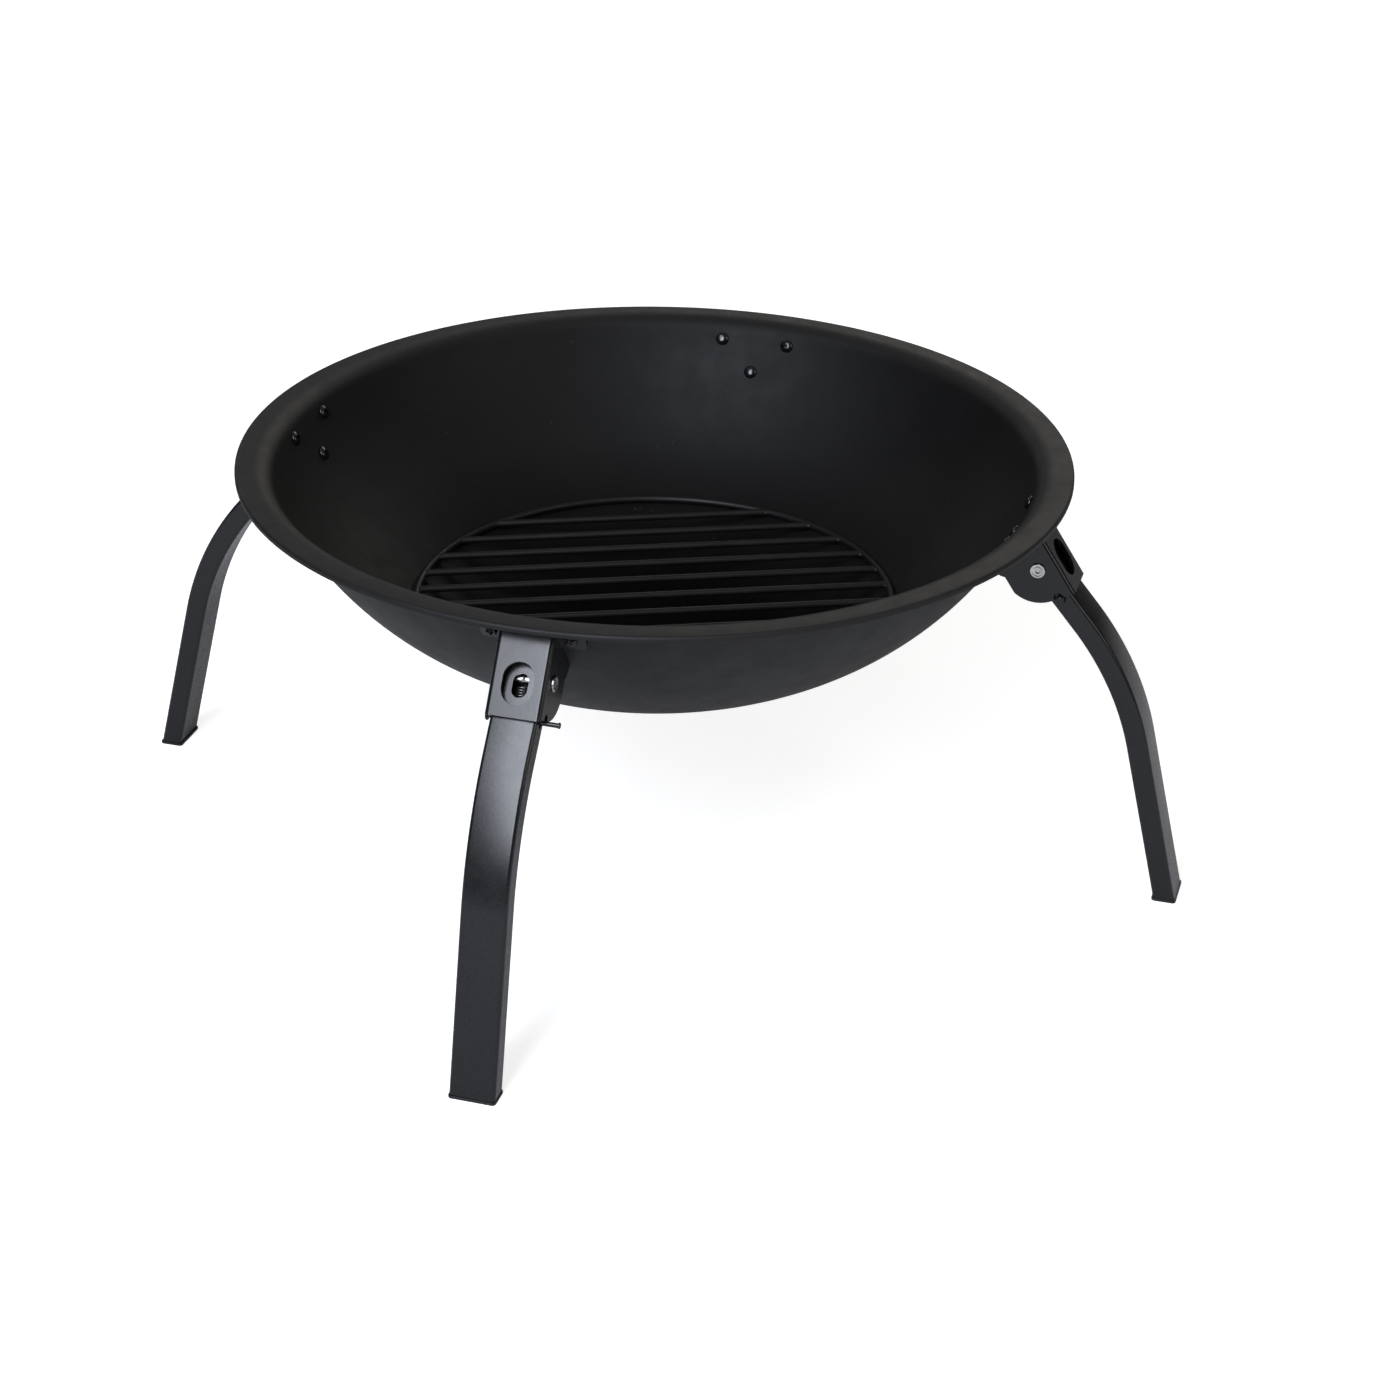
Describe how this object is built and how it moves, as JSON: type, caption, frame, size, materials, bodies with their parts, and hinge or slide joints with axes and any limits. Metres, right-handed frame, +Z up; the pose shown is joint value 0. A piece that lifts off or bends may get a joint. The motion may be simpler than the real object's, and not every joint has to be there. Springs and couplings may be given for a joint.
{
  "type": "folding fire bowl",
  "caption": "Round steel fire bowl with a rolled rim and a wire grate, on curved legs that fold under it and lock open with sprung cross pins",
  "frame": {"origin": "On the floor, on the bowl's axis, with the legs open.", "axes": "+Z is up. The legs stand on +X, +Y, -X and -Y; the front one in the picture stands on -Y."},
  "size_m": [0.7516, 0.7516, 0.277],
  "materials": {
    "heat_resistant_black": "matte heat-resistant black coat",
    "black_steel": "satin black powder coat",
    "bright_zinc": "bright zinc plate",
    "dark_steel": "black oxide",
    "spring_steel": "drawn spring wire",
    "black_plastic": "moulded matte black"
  },
  "bodies": {
    "bowl_and_brackets": {"bowl": "heat_resistant_black", "right_bracket": "black_steel", "right_pivot_barrel": "bright_zinc", "right_pivot_screw": "bright_zinc", "right_upper_far_bolt": "dark_steel", "right_upper_far_nut": "dark_steel", "right_upper_near_bolt": "dark_steel", "right_upper_near_nut": "dark_steel", "right_lower_bolt": "dark_steel", "right_lower_nut": "dark_steel", "back_bracket": "black_steel", "back_pivot_barrel": "bright_zinc", "back_pivot_screw": "bright_zinc", "back_upper_far_bolt": "dark_steel", "back_upper_far_nut": "dark_steel", "back_upper_near_bolt": "dark_steel", "back_upper_near_nut": "dark_steel", "back_lower_bolt": "dark_steel", "back_lower_nut": "dark_steel", "left_bracket": "black_steel", "left_pivot_barrel": "bright_zinc", "left_pivot_screw": "bright_zinc", "left_upper_far_bolt": "dark_steel", "left_upper_far_nut": "dark_steel", "left_upper_near_bolt": "dark_steel", "left_upper_near_nut": "dark_steel", "left_lower_bolt": "dark_steel", "left_lower_nut": "dark_steel", "front_bracket": "black_steel", "front_pivot_barrel": "bright_zinc", "front_pivot_screw": "bright_zinc", "front_upper_far_bolt": "dark_steel", "front_upper_far_nut": "dark_steel", "front_upper_near_bolt": "dark_steel", "front_upper_near_nut": "dark_steel", "front_lower_bolt": "dark_steel", "front_lower_nut": "dark_steel"},
    "grate_body": {"grate": "heat_resistant_black"},
    "right_leg_body": {"right_leg": "black_steel", "right_foot_cap": "black_plastic", "right_lock_spring": "spring_steel"},
    "right_pin_body": {"right_lock_pin": "dark_steel"},
    "back_leg_body": {"back_leg": "black_steel", "back_foot_cap": "black_plastic", "back_lock_spring": "spring_steel"},
    "back_pin_body": {"back_lock_pin": "dark_steel"},
    "left_leg_body": {"left_leg": "black_steel", "left_foot_cap": "black_plastic", "left_lock_spring": "spring_steel"},
    "left_pin_body": {"left_lock_pin": "dark_steel"},
    "front_leg_body": {"front_leg": "black_steel", "front_foot_cap": "black_plastic", "front_lock_spring": "spring_steel"},
    "front_pin_body": {"front_lock_pin": "dark_steel"}
  },
  "joints": [
    {"name": "grate_lift", "type": "slide", "parent": "bowl_and_brackets", "child": "grate_body", "axis": [0, 0, 1], "range_m": [0, 0.2]},
    {"name": "right_leg_fold", "type": "hinge", "parent": "bowl_and_brackets", "child": "right_leg_body", "pos_m": [0.26616, 0, 0.2354], "axis": [0, 1, 0], "range_deg": [0, 82]},
    {"name": "right_pin_pull", "type": "slide", "parent": "right_leg_body", "child": "right_pin_body", "axis": [0.6468, 0, -0.7627], "range_m": [0, 0.002], "stiffness_N_per_m": 5800, "springref_m": -0.002, "deforming": ["right_lock_spring"]},
    {"name": "back_leg_fold", "type": "hinge", "parent": "bowl_and_brackets", "child": "back_leg_body", "pos_m": [0, 0.26616, 0.2354], "axis": [-1, 0, 0], "range_deg": [0, 82]},
    {"name": "back_pin_pull", "type": "slide", "parent": "back_leg_body", "child": "back_pin_body", "axis": [0, 0.6468, -0.7627], "range_m": [0, 0.002], "stiffness_N_per_m": 5800, "springref_m": -0.002, "deforming": ["back_lock_spring"]},
    {"name": "left_leg_fold", "type": "hinge", "parent": "bowl_and_brackets", "child": "left_leg_body", "pos_m": [-0.26616, 0, 0.2354], "axis": [0, -1, 0], "range_deg": [0, 82]},
    {"name": "left_pin_pull", "type": "slide", "parent": "left_leg_body", "child": "left_pin_body", "axis": [-0.6468, 0, -0.7627], "range_m": [0, 0.002], "stiffness_N_per_m": 5800, "springref_m": -0.002, "deforming": ["left_lock_spring"]},
    {"name": "front_leg_fold", "type": "hinge", "parent": "bowl_and_brackets", "child": "front_leg_body", "pos_m": [0, -0.26616, 0.2354], "axis": [1, 0, 0], "range_deg": [0, 82]},
    {"name": "front_pin_pull", "type": "slide", "parent": "front_leg_body", "child": "front_pin_body", "axis": [0, -0.6468, -0.7627], "range_m": [0, 0.002], "stiffness_N_per_m": 5800, "springref_m": -0.002, "deforming": ["front_lock_spring"]}
  ]
}
